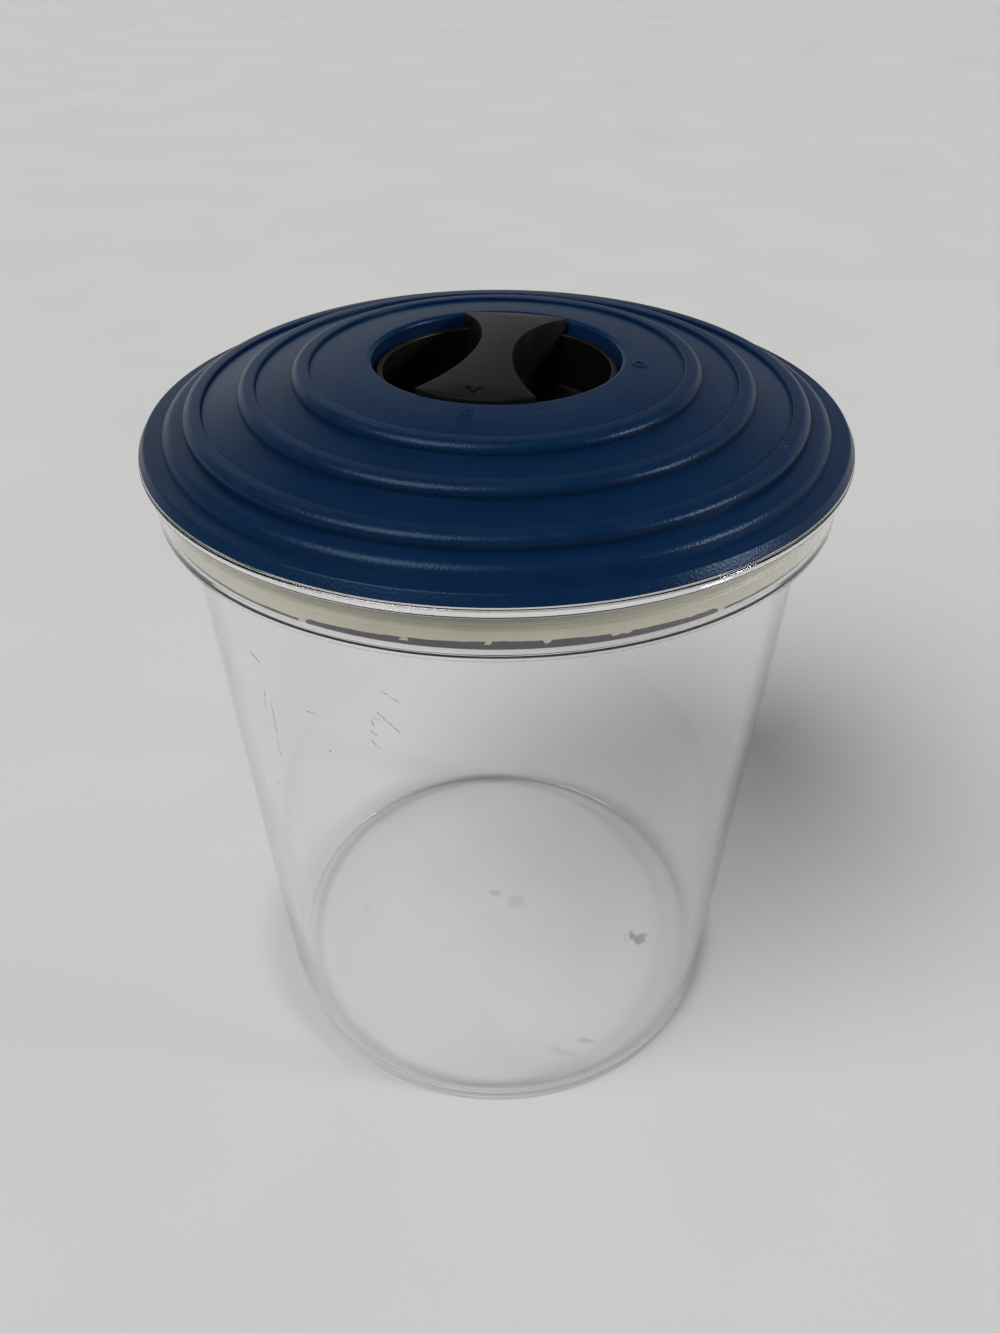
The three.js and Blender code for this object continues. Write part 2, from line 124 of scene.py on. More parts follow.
def finish(name, sockets):
    """A new material with its shader's own sockets set, and its node tree and shader."""
    material = bpy.data.materials.new(name)
    material.use_nodes = True
    shader = material.node_tree.nodes["Principled BSDF"]
    for socket, value in sockets.items():
        shader.inputs[socket].default_value = value
    return material, material.node_tree, shader


def node(tree, kind, inputs, **settings):
    """A node with its settings, and its inputs set to numbers or fed from other nodes' sockets."""
    new = tree.nodes.new("ShaderNode" + kind)
    for setting, value in settings.items():
        setattr(new, setting, value)
    for key, value in inputs.items():
        if isinstance(value, bpy.types.NodeSocket):
            tree.links.new(value, new.inputs[key])
        else:
            new.inputs[key].default_value = value
    return new


def maths(tree, operation, *inputs, clamp=False):
    """One step of arithmetic on numbers or sockets."""
    new = node(tree, "Math", dict(enumerate(inputs)), operation=operation, use_clamp=clamp)
    return new.outputs[0]


def product(tree, first, *others):
    """All shares multiplied together."""
    for other in others:
        first = maths(tree, "MULTIPLY", first, other)
    return first


def vectors(tree, operation, *inputs):
    """One step of arithmetic on places or directions."""
    new = node(tree, "VectorMath", dict(enumerate(inputs)), operation=operation)
    single = operation in ("DOT_PRODUCT", "DISTANCE", "LENGTH")
    return new.outputs["Value" if single else "Vector"]


def spread(tree, value, low, high, to_low=0.0, to_high=1.0):
    """Value mapped from one range to another, held at both ends."""
    inputs = {"Value": value, "From Min": low, "From Max": high, "To Min": to_low, "To Max": to_high}
    return node(tree, "MapRange", inputs).outputs[0]


def blend(tree, share, first, second):
    """First colour where share is 0, second where it is 1."""
    new = node(tree, "Mix", {"Factor": share}, data_type="RGBA")
    for key, value in ((6, first), (7, second)):
        if isinstance(value, bpy.types.NodeSocket):
            tree.links.new(value, new.inputs[key])
        else:
            new.inputs[key].default_value = (*value, 1)
    return new.outputs[2]


def coordinates(tree):
    """Coordinates in metres in the part's frame, which ride with the piece."""
    return node(tree, "TexCoord", {}).outputs["Object"]


def grain(tree, place, scale, detail=2.0):
    """Soft noise about 0.5, with so many grains to the unit that place is in."""
    inputs = {"Vector": place, "Scale": scale, "Detail": detail}
    return node(tree, "TexNoise", inputs).outputs[0]


def across(tree, place):
    """Place in metres with its height left out."""
    return vectors(tree, "MULTIPLY", place, (1, 1, 0))


def radius_at(tree, place):
    """Distance from the upright axis in millimetres."""
    return maths(tree, "DIVIDE", vectors(tree, "LENGTH", across(tree, place)), mm)


def height_at(tree, place):
    """Height above the base's underside in millimetres."""
    return maths(tree, "DIVIDE", node(tree, "SeparateXYZ", {0: place}).outputs["Z"], mm)


def turn_at(tree, place):
    """Angle about the upright axis in degrees, from -Y towards +X."""
    axes = node(tree, "SeparateXYZ", {0: place}).outputs
    forward = maths(tree, "MULTIPLY", axes["Y"], -1)
    return maths(tree, "MULTIPLY", maths(tree, "ARCTAN2", axes["X"], forward), math.degrees(1))


def scratch(tree, place, start, end, width):
    """Share of one straight scratch, all in millimetres, from the distance to its line."""
    along = Vector(end) - Vector(start)
    from_start = vectors(tree, "SUBTRACT", place, (*start, 0))
    reach = vectors(tree, "DOT_PRODUCT", from_start, (*along, 0))
    reach = maths(tree, "MULTIPLY", reach, 1 / along.length_squared, clamp=True)
    inputs = {0: (*along, 0), "Scale": reach}
    nearest = node(tree, "VectorMath", inputs, operation="SCALE").outputs[0]
    away = vectors(tree, "DISTANCE", from_start, nearest)
    return spread(tree, away, 0.3 * width, 0.6 * width, 1, 0)


# Each scratch from one (turn, height) to another, with its width, and each mark on the floor by its
# middle, its half sizes and its depth of colour.
scratched_radius = 72.6
scratches = (
    ((-35.0, 149.0), (-33.0, 148.0), 0.35), ((-7.4, 153.6), (-4.4, 151.4), 0.3),
    ((-8.5, 147.7), (-5.0, 143.4), 0.4), ((-7.4, 145.9), (-5.6, 144.6), 0.3),
    ((-9.5, 146.0), (-7.6, 145.6), 0.3), ((-9.7, 145.1), (-9.3, 143.6), 0.35),
    ((-9.8, 142.0), (-9.0, 141.0), 0.4), ((-10.0, 139.1), (-8.7, 137.4), 0.45),
    ((-32.1, 137.1), (-32.3, 128.5), 0.25), ((-32.9, 125.6), (-32.7, 121.1), 0.2),
    ((-22.6, 141.2), (-20.4, 141.6), 0.3), ((-33.5, 139.8), (-34.1, 134.8), 0.2),
    ((-18.9, 132.0), (-18.8, 131.8), 0.5), ((-36.3, 109.3), (-36.2, 109.1), 0.5),
)
floor_marks = (
    ((47.8, -3.0), (4.2, 3.0), 0.95), ((6.3, 5.3), (3.8, 3.4), 0.3), ((-2.1, 7.4), (2.8, 1.6), 0.45),
    ((35.0, -43.0), (3.4, 1.2), 0.5), ((28.0, -48.0), (5.2, 1.6), 0.22),
    ((-4.0, -3.2), (1.8, 3.0), 0.12), ((-45.0, -6.7), (1.4, 2.8), 0.15),
)


def clear_plastic():
    """Clear glossy plastic that lets the lamps through, scratched in front and marked on its floor."""
    clear, floor_tint = (0.997, 0.997, 1.0), (0.80, 0.808, 0.84)
    scratch_grey, mark_grey = (0.35, 0.34, 0.33), (0.10, 0.10, 0.10)
    thin, thick = (0.995, 0.995, 0.996), (0.11, 0.115, 0.14)
    material, tree, shader = finish("clear_plastic", {"Transmission Weight": 1.0, "IOR": 1.5})
    place = coordinates(tree)
    flat = across(tree, place)
    radius, height = radius_at(tree, place), height_at(tree, place)

    arc = maths(tree, "MULTIPLY", turn_at(tree, place), math.radians(scratched_radius))
    wobble = maths(tree, "MULTIPLY_ADD", grain(tree, place, 900), 0.7, -0.35)
    on_wall = node(tree, "CombineXYZ", {0: maths(tree, "ADD", arc, wobble), 1: height}).outputs[0]
    worn = 0.0
    for (start_turn, start_height), (end_turn, end_height), width in scratches:
        start = (math.radians(start_turn) * scratched_radius, start_height)
        end = (math.radians(end_turn) * scratched_radius, end_height)
        worn = maths(tree, "MAXIMUM", worn, scratch(tree, on_wall, start, end, width))
    slope = (neck_radius - base_radius) / ledge_under
    wall_middle = maths(tree, "MULTIPLY_ADD", height, slope, base_radius - wall / 2)
    outside = maths(tree, "GREATER_THAN", radius, wall_middle)
    broken = spread(tree, grain(tree, place, 1400), 0.38, 0.5)
    worn = product(tree, worn, outside, broken)

    inside = maths(tree, "SUBTRACT", 1, outside)
    on_floor = product(tree, spread(tree, height, floor_top + 0.1, floor_top + 0.3, 1, 0), inside)
    smudge = spread(tree, grain(tree, place, 45, detail=4), 0.35, 0.75, 0.55, 1)
    colour = blend(tree, product(tree, on_floor, smudge), clear, floor_tint)
    ragged = maths(tree, "MULTIPLY_ADD", grain(tree, place, 420, detail=3), 2.4, -1.1)
    for (x, y), (half_width, half_length), depth in floor_marks:
        away = vectors(tree, "SUBTRACT", flat, (x * mm, y * mm, 0))
        away = vectors(tree, "DIVIDE", away, (half_width * mm, half_length * mm, 1))
        away = maths(tree, "ADD", vectors(tree, "LENGTH", away), ragged)
        mark = spread(tree, away, 0.6, 1.05, depth, 0)
        colour = blend(tree, product(tree, mark, on_floor), colour, mark_grey)
    tree.links.new(blend(tree, worn, colour, scratch_grey), shader.inputs["Base Color"])
    haze = spread(tree, grain(tree, place, 40), 0.3, 0.7, 0.015, 0.05)
    haze = maths(tree, "MAXIMUM", haze, product(tree, worn, 0.5))
    tree.links.new(haze, shader.inputs["Roughness"])

    # Bounced light, and light that has run long inside the wall, goes straight through. So do the
    # lamps, but the rounded corner at the floor and a wall seen edge-on keep part of their light.
    path = node(tree, "LightPath", {}).outputs
    long_inside = maths(tree, "GREATER_THAN", path["Ray Depth"], 5.5)
    edge_on = node(tree, "LayerWeight", {"Blend": 0.5}).outputs["Facing"]
    edge_on = spread(tree, edge_on, 0.65, 1.0, 0, 0.5)
    corner = product(tree, spread(tree, height, 2.5, 7.0, 0.72, 0), spread(tree, radius, 61.5, 63.5))
    shade = blend(tree, maths(tree, "MAXIMUM", edge_on, corner), thin, thick)
    straight = node(tree, "BsdfTransparent", {"Color": (*thin, 1)}).outputs[0]
    shaded = node(tree, "BsdfTransparent", {"Color": shade}).outputs[0]
    surface = shader.outputs[0]
    ways = (path["Is Diffuse Ray"], straight), (long_inside, straight), (path["Is Shadow Ray"], shaded)
    for share, way in ways:
        surface = node(tree, "MixShader", {0: share, 1: surface, 2: way}).outputs[0]
    tree.links.new(surface, tree.nodes["Material Output"].inputs["Surface"])
    return material


body.data.materials.append(clear_plastic())
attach(body, "canister")
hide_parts("canister_body")


# Lid shell. A satin blue moulding with a fine pebbled skin: a flange that rests over the lip, a rolled
# shoulder, three ripples, a deep well for the dial, and below them the plug that carries the gasket.
# A dot and a ring beside the well mark the dial's two stops.

seat = 180.4
lid_radius, flange_radius, flange_top = 80.3, 79.1, 2.2
shoulder_foot, shoulder_radius, shoulder_top = 75.3, 74.3, 4.75
dome_top, dome_curve, skin = 17.15, 220.0, 2.95
ripple_outer, ripple_pitch, ripple_width = 70.1, 12.05, 4.1
ripple_step, ripple_shoulder, ripple_crest = 0.75, 0.62, 0.72
well_radius, well_outer, well_edge, well_floor, well_under = 28.0, 30.2, 14.55, -4.8, -7.2
hub_bore, hub_radius, hub_under = 4.3, 7.6, -12.0
plug_bore, plug_radius, plug_shoulder = 70.3, 72.7, 76.0
gasket_low, gasket_high = -11.2, -3.6


def dome(radius):
    """Height of the lid's dome over its seat."""
    return dome_top - dome_curve + math.sqrt(dome_curve ** 2 - radius ** 2)


def curve(*points, steps):
    """Corners along a smooth curve from the first of four points to the last."""
    return [(*p[:2], 0) for p in interpolate_bezier(*map(Vector, points), steps)]


lid_corners = [(flange_radius, flange_top, 0.6), (shoulder_foot, flange_top, 0),
               (shoulder_radius, shoulder_top, 2.5)]
for i in range(3):
    outer = ripple_outer - i * ripple_pitch
    inner = outer - ripple_width
    lid_corners += [
        (outer, dome(outer) - ripple_step, 0), (outer - 0.2, dome(inner) + ripple_shoulder, 2.0),
        (inner, dome(inner) + ripple_crest, 0.35), (inner, dome(inner), 0),
    ]
well_mouth = (29.2, well_edge), (28.4, well_edge), (well_radius, 14.15), (well_radius, 13.35)
lid_corners += curve(*well_mouth, steps=8)
lid_corners += [
    (well_radius, well_floor, 0.6), (hub_bore, well_floor, 0.3), (hub_bore, hub_under, 0.2),
    (hub_radius, hub_under, 0.3), (hub_radius, well_under, 0.5), (well_outer, well_under, 0.6),
]
lid_corners += [(r, dome(r) - skin, 0) for r in (well_outer, 36, 42, 48, 54, 60, 65, plug_bore)]
lid_corners += [
    (plug_bore, gasket_low + 0.4, 0.4), (plug_radius, gasket_low + 0.4, 0.4),
    (plug_radius, gasket_high + 0.3, 0.2), (plug_shoulder, gasket_high + 0.3, 0.25),
    (plug_shoulder, 0.0, 0), (lid_radius, 0.0, 0.12), (lid_radius, 0.3, 0.15),
]
lid = made("blue_lid", turned(rounded(lid_corners, 12), lift=seat))


def shaped(piece, tool, operation="DIFFERENCE"):
    """Cuts a tool out of a piece, or joins it on, and uses the tool up."""
    step = piece.modifiers.new("shape", "BOOLEAN")
    step.object, step.operation, step.solver = tool, operation, "MANIFOLD"
    evaluated = piece.evaluated_get(bpy.context.evaluated_depsgraph_get())
    result = bpy.data.meshes.new_from_object(evaluated)
    piece.modifiers.clear()
    piece.data = result
    result.shade_smooth()
    result.set_sharp_from_angle(angle=sharp_angle)
    bpy.data.objects.remove(tool)


def round_tool(radius, low, high, x=0.0, y=0.0, rounding=0.0, sides=64):
    """A short upright bar at a place on the lid, to cut or join with."""
    corners = [(0, low, 0), (radius, low, rounding), (radius, high, rounding), (0, high, 0)]
    tool = made("tool", turned(rounded(corners), sides, seat))
    tool.data.transform(Matrix.Translation((x * mm, y * mm, 0)))
    return tool


def sector_tool(inner, outer, low, high, start, end, steps=24):
    """A ring sector between two angles in degrees, to cut or join with."""
    section = ((inner, low), (outer, low), (outer, high), (inner, high))
    mesh = bmesh.new()
    rows = []
    for i in range(steps + 1):
        turn = math.radians(start + (end - start) * i / steps)
        x, y = math.cos(turn) * mm, math.sin(turn) * mm
        rows.append([mesh.verts.new((r * x, r * y, (z + seat) * mm)) for r, z in section])
    for near, far in zip(rows, rows[1:]):
        for i in range(4):
            mesh.faces.new((near[i], near[(i + 1) % 4], far[(i + 1) % 4], far[i]))
    mesh.faces.new(rows[0])
    mesh.faces.new(rows[-1])
    bmesh.ops.recalc_face_normals(mesh, faces=mesh.faces)
    return made("tool", mesh)


# Below the well: a boss with the check valve's pocket and holes, the vent, and the stop lug's groove.
# The tools end clear of the faces that they pass, at under, within and over.
port = 16.5
boss_radius, boss_under, pocket_radius, pocket_floor = 8.0, -10.9, 6.2, -9.3
valve_hole, air_hole, air_circle, vent_hole = 1.5, 0.9, 3.7, 1.5
groove_inner, groove_outer, groove_depth, groove_start, groove_end = 23.1, 26.1, 1.2, 195, 295
under, within, over = -12.0, -8.0, -4.0

shaped(lid, round_tool(boss_radius, boss_under, -6.0, port, rounding=0.4), "UNION")
shaped(lid, round_tool(pocket_radius, pocket_floor, over, port))
shaped(lid, round_tool(valve_hole, under, within, port))
for turn in (45, 135, 225, 315):
    at = air_circle * Vector((math.cos(math.radians(turn)), math.sin(math.radians(turn))))
    shaped(lid, round_tool(air_hole, under, within, port + at.x, at.y, sides=32))
shaped(lid, round_tool(vent_hole, within, over, 0, port))
shaped(lid, sector_tool(groove_inner, groove_outer, well_floor - groove_depth, over,
                        groove_start, groove_end))

mark_radius, mark_foot, mark_face, mark_top, mark_lean = 32.0, 13.2, 14.2, 14.5, 6.4
dot, ring, ring_bore = 1.3, 1.75, 0.95
ring_corners = [(ring_bore, mark_foot, 0), (ring, mark_foot, 0),
                (ring, mark_top, 0.2), (ring_bore, mark_top, 0.2)]
dot_mark = round_tool(dot, mark_foot, mark_top, rounding=0.3, sides=48)
ring_mark = made("tool", turned(rounded(ring_corners), 48, seat))
for mark, turn in ((dot_mark, -90), (ring_mark, 0)):
    middle = Vector((0, 0, (mark_face + seat) * mm))
    lean = Matrix.Rotation(math.radians(mark_lean), 4, "Y")
    lean = Matrix.Translation(middle) @ lean @ Matrix.Translation(-middle)
    out = Matrix.Translation((mark_radius * mm, 0, 0))
    mark.data.transform(Matrix.Rotation(math.radians(turn), 4, "Z") @ out @ lean)
    shaped(lid, mark, "UNION")


def facing_up(tree):
    """How far the surface faces up, from -1 to 1."""
    normal = node(tree, "NewGeometry", {}).outputs["Normal"]
    return node(tree, "SeparateXYZ", {0: normal}).outputs["Z"]


def relief(tree, shader, height, strength, depth):
    """Fine relief in the surface, with its depth in metres."""
    bump = node(tree, "Bump", {"Height": height, "Strength": strength, "Distance": depth})
    tree.links.new(bump.outputs[0], shader.inputs["Normal"])


def blue_plastic():
    """Satin blue with a pebbled skin, rubbed crests with a painted highlight, painted shade at the
    ripples' feet, and a few specks.
    """
    deep_blue, blue = (0.0022, 0.0145, 0.047), (0.0028, 0.0175, 0.055)
    pebble_blue, wear_highlight_blue = (0.005, 0.024, 0.07), (0.006, 0.027, 0.07)
    crease_shade_blue, shaded_blue = (0.0005, 0.004, 0.014), (0.0006, 0.009, 0.034)
    speck_grey = (0.22, 0.23, 0.24)
    material, tree, shader = finish("blue_plastic", {
        "IOR": 1.5, "Specular IOR Level": 0.14, "Specular Tint": (0.6, 0.82, 1.0, 1),
    })
    place = coordinates(tree)
    radius = radius_at(tree, place)
    half_pitch = ripple_pitch / 2

    pebble = grain(tree, place, 2300, detail=1.5)
    cloud = grain(tree, place, 45, detail=3)
    colour = blend(tree, spread(tree, cloud, 0.3, 0.7), deep_blue, blue)
    colour = blend(tree, spread(tree, pebble, 0.55, 0.8, 0, 0.35), colour, pebble_blue)

    # Rubbed wear and a painted highlight: lighter blue on each ripple's rounded outer shoulder, where
    # the highlight falls.
    off_crest = maths(tree, "SUBTRACT", radius, ripple_outer - 1.0)
    off_crest = maths(tree, "PINGPONG", off_crest, half_pitch)
    wear_and_highlight = spread(tree, off_crest, 0.3, 1.2, 0.4, 0)
    wear_and_highlight = product(tree, wear_and_highlight, spread(tree, grain(tree, place, 180), 0.35, 0.65))
    colour = blend(tree, wear_and_highlight, colour, wear_highlight_blue)

    specks = node(tree, "TexVoronoi", {"Vector": place, "Scale": 220}).outputs
    chosen = node(tree, "SeparateColor", {0: specks["Color"]}).outputs[0]
    few = maths(tree, "GREATER_THAN", chosen, 0.965)
    on_top = maths(tree, "GREATER_THAN", facing_up(tree), 0.6)
    speck = product(tree, spread(tree, specks["Distance"], 0.04, 0.09, 0.35, 0), few, on_top)
    colour = blend(tree, speck, colour, speck_grey)

    # Painted shade: darker in the crease at each ripple's outer foot, and fading out over the plateau
    # beyond it.
    rippled = product(tree, spread(tree, radius, 40, 41), spread(tree, radius, 71, 72, 1, 0))
    off_foot = maths(tree, "SUBTRACT", radius, ripple_outer - 0.1)
    off_foot = maths(tree, "PINGPONG", off_foot, half_pitch)
    painted_crease_shade = product(tree, spread(tree, off_foot, 0.2, 0.75, 0.25, 0), rippled)
    colour = blend(tree, painted_crease_shade, colour, crease_shade_blue)
    past_foot = maths(tree, "SUBTRACT", radius, ripple_outer - 2 * ripple_pitch)
    past_foot = maths(tree, "FLOORED_MODULO", past_foot, ripple_pitch)
    shaded = product(tree, spread(tree, past_foot, 0, 4.5, 0.5, 0), rippled)
    colour = blend(tree, shaded, colour, shaded_blue)
    tree.links.new(colour, shader.inputs["Base Color"])

    tree.links.new(spread(tree, cloud, 0.3, 0.7, 0.27, 0.31), shader.inputs["Roughness"])
    relief(tree, shader, pebble, 0.5, 0.00013)
    return material


lid.data.materials.clear()
lid.data.materials.append(blue_plastic())
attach(lid, "lid")
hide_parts("lid_shell")


# Gasket. A cream silicone ring, moulded with a groove between two round ribs and stretched over the
# lid's plug. It seals against the clear collar, and its foot sits just above the ledge.

gasket_bore, gasket_outer, gasket_groove = 73.0, 76.4, 1.1
groove_height = gasket_high - 3.2
gasket = made("cream_gasket", turned(rounded([
    (gasket_bore, gasket_high, 0.4), (gasket_bore, gasket_low, 0.4), (gasket_outer, gasket_low, 0.5),
    (gasket_outer, groove_height - 0.5, 1.0), (gasket_outer - gasket_groove, groove_height, 0.5),
    (gasket_outer, groove_height + 1.0, 0.9), (gasket_outer - 0.4, gasket_high, 0.5),
]), sides=360, lift=seat))


def silicone(name, colour, deep, roughness, paint_shade=None):
    """Soft satin silicone that light enters a little, with a faint cloud, matt grain and any painted
    shade.
    """
    material, tree, shader = finish(name, {
        "Roughness": roughness, "Subsurface Weight": 0.25, "Subsurface Scale": 0.0015,
        "Subsurface Radius": (1.0, 0.8, 0.6), "IOR": 1.42,
    })
    place = coordinates(tree)
    cloud = spread(tree, grain(tree, place, 120, detail=3), 0.3, 0.7)
    colour = blend(tree, cloud, colour, deep)
    if paint_shade:
        colour = paint_shade(tree, place, colour)
    tree.links.new(colour, shader.inputs["Base Color"])
    relief(tree, shader, grain(tree, place, 1800), 0.15, 0.00006)
    return material


def gasket_painted_shade(tree, place, cream):
    """Painted shade greying the top under the lid, and a painted line of shade at the foot that is
    thick and nicked in front.
    """
    top_shade_grey, gap_shade_grey = (0.17, 0.16, 0.125), (0.045, 0.042, 0.055)
    line_middle, line_end, line_gap = 13.3, 29, 30.4
    height = maths(tree, "SUBTRACT", height_at(tree, place), seat)
    # Painted shade: greyer towards the top, in the shade of the lid's flange and lip.
    painted_top_shade = spread(tree, height, groove_height - 1.5, gasket_high, 0, 0.75)
    colour = blend(tree, painted_top_shade, cream, top_shade_grey)
    off_middle = maths(tree, "SUBTRACT", turn_at(tree, place), line_middle)
    off_middle = maths(tree, "ABSOLUTE", off_middle)

    # Painted shade of the gap below the gasket: a dark line at its foot, thick with a ragged, nicked
    # edge in front, thin elsewhere and broken just past each end of the thick part.
    ragged = grain(tree, place, 260, detail=4)
    top = maths(tree, "MULTIPLY_ADD", ragged, 0.7, gasket_low + 1.15)
    top = maths(tree, "ADD", top, spread(tree, off_middle, 4, line_end, 0.55, -0.1))
    top = maths(tree, "SUBTRACT", top, spread(tree, off_middle, line_end, line_end + 1, 0, 0.5))
    nick = maths(tree, "GREATER_THAN", grain(tree, place, 420, detail=0), 0.66)
    nick = product(tree, nick, spread(tree, off_middle, line_end - 1, line_end, 0.7, 0))
    gap = product(tree, maths(tree, "COMPARE", off_middle, line_gap, 0.6), 3)
    top = maths(tree, "SUBTRACT", maths(tree, "SUBTRACT", top, nick), gap)
    painted_gap_shade = spread(tree, maths(tree, "SUBTRACT", top, height), -0.05, 0.05)
    return blend(tree, painted_gap_shade, colour, gap_shade_grey)


gasket.data.materials.append(
    silicone("cream_silicone", (0.56, 0.525, 0.41), (0.50, 0.47, 0.365), 0.45, gasket_painted_shade))
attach(gasket, "lid")
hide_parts("lid_gasket")


# Check valve. A grey silicone umbrella in a pocket of the well's floor, held by a barb pulled through
# the hole in the middle. Air lifts its thin skirt on the way out and presses it shut on the way back.

barb_tip, barb_radius, valve_stem, skirt_radius, skirt_under = 0.6, 1.9, 1.2, 5.2, -9.0
valve_corners = [
    (0, -14.4, 0), (barb_tip, -14.4, 0.2), (barb_radius, -11.9, 0.2), (barb_radius, -11.2, 0.2),
    (valve_stem, -11.2, 0.1), (valve_stem, skirt_under, 0.2), (skirt_radius, skirt_under, 0.1),
    (skirt_radius, -8.4, 0),
]
valve_corners += curve((skirt_radius, -8.4), (3.4, -7.95), (1.8, -7.7), (0, -7.7), steps=10)[1:]
valve = made("umbrella_valve", turned(rounded(valve_corners, 4), 96, seat))
valve.data.transform(Matrix.Translation((port * mm, 0, 0)))
grey_silicone = silicone("grey_silicone", (0.27, 0.28, 0.28), (0.24, 0.25, 0.25), 0.5)
valve.data.materials.append(grey_silicone)
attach(valve, "lid")
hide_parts("check_valve")


# Dial. One satin black moulding that drops into the well: a cup, an arched hourglass bar across it for
# finger and thumb, a pointer cut near the bar's end, and below a stem, a stop lug and an air hole.

cup_radius, cup_bore, cup_under, cup_floor, cup_rim = 27.3, 25.8, -3.1, -1.3, 11.7
stem_radius, stem_end, screw_bore, screw_bore_top = 4.0, -13.6, 1.7, -5.8
gland_radius, gland_low, gland_high = 2.9, -10.55, -8.65
dial = made("black_dial", turned(rounded([
    (0, screw_bore_top, 0), (screw_bore, screw_bore_top, 0), (screw_bore, stem_end, 0),
    (stem_radius, stem_end, 0.3), (stem_radius, gland_low, 0), (gland_radius, gland_low, 0),
    (gland_radius, gland_high, 0), (stem_radius, gland_high, 0), (stem_radius, cup_under, 0),
    (cup_radius, cup_under, 0.6), (cup_radius, cup_rim, 0.4), (cup_bore, cup_rim, 0.4),
    (cup_bore, cup_floor, 1.0), (0, cup_floor, 0),
]), 240, seat))


def bar_top(y):
    """Height of the grip bar's arched top along its length."""
    crown, arch = 16.65, 192.0
    return crown - arch + math.sqrt(arch ** 2 - y ** 2)


def grip_bar():
    """Hourglass bar: sides that curve in to the waist, ends on the cup's radius, an arched top."""
    end_radius, waist, side_curve, low, edge = cup_radius - 0.05, 8.1, 38.2, -2.2, 0.35
    side_steps, end_steps = 40, 12
    side_middle = waist / 2 + side_curve
    corner_x = (end_radius ** 2 + side_middle ** 2 - side_curve ** 2) / (2 * side_middle)
    corner_y = math.sqrt(end_radius ** 2 - corner_x ** 2)
    corner_turn = math.atan2(corner_y, corner_x)
    plan = []
    for i in range(side_steps + 1):
        y = corner_y * math.sin(math.pi / 2 * (2 * i / side_steps - 1))
        plan.append((side_middle - math.sqrt(side_curve ** 2 - y ** 2), y))
    for i in range(1, end_steps):
        turn = corner_turn + (math.pi / 2 - corner_turn) * i / end_steps
        plan.append((end_radius * math.cos(turn), end_radius * math.sin(turn)))
        plan.insert(0, (end_radius * math.cos(turn), -end_radius * math.sin(turn)))

    mesh = bmesh.new()

    def row(x, y):
        return [mesh.verts.new((x * mm, y * mm, (z + seat) * mm)) for z in (low, bar_top(y))]

    right = [row(x, y) for x, y in plan]
    left = [row(-x, y) for x, y in plan]
    tips = row(0, -end_radius), row(0, end_radius)
    round_the_bar = [tips[0], *right, tips[1], *reversed(left)]
    rim = []
    for near, far in zip(round_the_bar, round_the_bar[1:] + round_the_bar[:1]):
        mesh.faces.new((near[0], far[0], far[1], near[1]))
        rim.append(mesh.edges.get((near[1], far[1])))
    for level in (0, 1):
        for i in range(len(plan) - 1):
            mesh.faces.new((left[i][level], right[i][level], right[i + 1][level], left[i + 1][level]))
        mesh.faces.new((tips[0][level], right[0][level], left[0][level]))
        mesh.faces.new((tips[1][level], left[-1][level], right[-1][level]))
    bmesh.ops.recalc_face_normals(mesh, faces=mesh.faces)
    bmesh.ops.bevel(mesh, geom=rim, offset=edge * mm, offset_type="OFFSET", segments=4, profile=0.5,
                    affect="EDGES", clamp_overlap=True)
    return made("tool", mesh)


def pointer():
    """A small open V with its point to the bar's end, to cut into the bar's top."""
    aside, half, stroke, wing, tip, depth = -0.6, 1.75, 0.7, -21.8, -25.5, 0.25
    plan = [(-half, wing), (stroke - half, wing), (0, tip + 1.5),
            (half - stroke, wing), (half, wing), (0, tip)]
    mesh = bmesh.new()
    face = mesh.faces.new([
        mesh.verts.new(((x + aside) * mm, y * mm, (bar_top(y) - depth + seat) * mm)) for x, y in plan
    ])
    raised = bmesh.ops.extrude_face_region(mesh, geom=[face])["geom"]
    raised = [v for v in raised if isinstance(v, bmesh.types.BMVert)]
    bmesh.ops.translate(mesh, vec=(0, 0, mm), verts=raised)
    bmesh.ops.recalc_face_normals(mesh, faces=mesh.faces)
    return made("tool", mesh)


lug_inner, lug_outer, lug_low, lug_top, lug_start, lug_end = 23.4, 25.8, -5.7, -2.2, 197, 203
dial_hole = 1.5
pip_radius, pip_low, pip_top, pip_x, pip_y = 0.55, 16.0, 16.74, 1.0, 1.4
shaped(dial, grip_bar(), "UNION")
shaped(dial, sector_tool(lug_inner, lug_outer, lug_low, lug_top, lug_start, lug_end, steps=4), "UNION")
shaped(dial, round_tool(dial_hole, over, 0.0, port))
shaped(dial, pointer())
shaped(dial, round_tool(pip_radius, pip_low, pip_top, pip_x, pip_y, rounding=0.1, sides=32), "UNION")


def black_plastic():
    """Satin black with a faint warm cast, a fine skin and a film of dust on what faces up."""
    black, dusty = (0.0009, 0.0009, 0.0008), (0.015, 0.0145, 0.0115)
    material, tree, shader = finish("black_plastic", {
        "IOR": 1.5, "Specular IOR Level": 0.36, "Specular Tint": (1.0, 0.97, 0.87, 1),
    })
    place = coordinates(tree)
    cloud = spread(tree, grain(tree, place, 160, detail=4), 0.3, 0.75)
    film = product(tree, cloud, 0.35, spread(tree, facing_up(tree), 0.5, 1.0))
    tree.links.new(blend(tree, film, black, dusty), shader.inputs["Base Color"])
    tree.links.new(spread(tree, cloud, 0, 1, 0.38, 0.46), shader.inputs["Roughness"])
    relief(tree, shader, grain(tree, place, 2600), 0.2, 0.00006)
    return material


dial.data.materials.clear()
dial.data.materials.append(black_plastic())
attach(dial, "dial")
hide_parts("valve_dial")


# Dial seal. A flat grey silicone disc round the stem, pressed between the dial and the well's floor.
# Its one hole joins the dial's air hole to the valve or to the vent.

